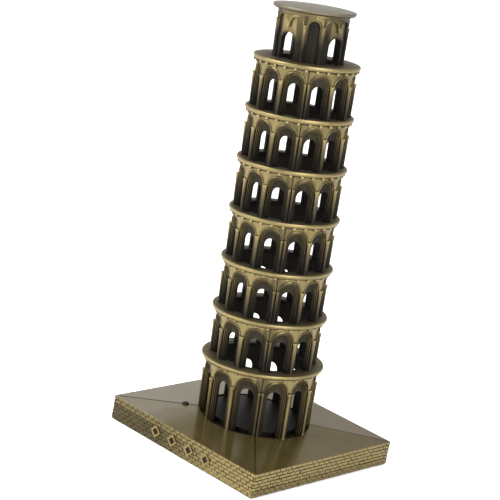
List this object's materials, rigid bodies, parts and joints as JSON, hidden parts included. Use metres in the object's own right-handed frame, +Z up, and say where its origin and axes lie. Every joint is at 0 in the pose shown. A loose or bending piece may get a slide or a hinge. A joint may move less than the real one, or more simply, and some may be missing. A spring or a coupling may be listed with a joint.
{
  "type": "miniature landmark model",
  "caption": "Souvenir model of a leaning round arcaded bell tower, cast in ring pieces and fixed to a square plinth with a brick edge.",
  "frame": {"origin": "centre of the underside of the square plinth, on the surface it stands on", "axes": "+Z up; -Y is the plinth's ornamented front face; the tower leans towards -X"},
  "size_m": [0.068, 0.0684, 0.1508],
  "materials": {
    "bronze": "zinc alloy casting with an antique bronze plating, dark brown in the recesses and rubbed bright brass on the raised edges, lacquered glossy",
    "dark_bronze": "same plating left dark and unrubbed",
    "steel": "zinc-plated steel screws",
    "felt": "black self-adhesive felt"
  },
  "bodies": {
    "root": {"base_plinth": "bronze", "base_pad": "felt", "tower_foot": "dark_bronze", "foot_screws": "steel", "storey_1_left": "bronze", "storey_1_right": "bronze", "gallery_1_front": "bronze", "gallery_1_back": "bronze", "storey_2_left": "bronze", "storey_2_right": "bronze", "gallery_2_front": "bronze", "gallery_2_back": "bronze", "storey_3_left": "bronze", "storey_3_right": "bronze", "gallery_3_front": "bronze", "gallery_3_back": "bronze", "storey_4_left": "bronze", "storey_4_right": "bronze", "gallery_4_front": "bronze", "gallery_4_back": "bronze", "storey_5_left": "bronze", "storey_5_right": "bronze", "gallery_5_front": "bronze", "gallery_5_back": "bronze", "storey_6_left": "bronze", "storey_6_right": "bronze", "gallery_6_front": "bronze", "gallery_6_back": "bronze", "storey_7_left": "bronze", "storey_7_right": "bronze", "gallery_7_front": "bronze", "gallery_7_back": "bronze", "belfry_left": "bronze", "belfry_right": "bronze", "roof_disc": "bronze"}
  },
  "joints": []
}
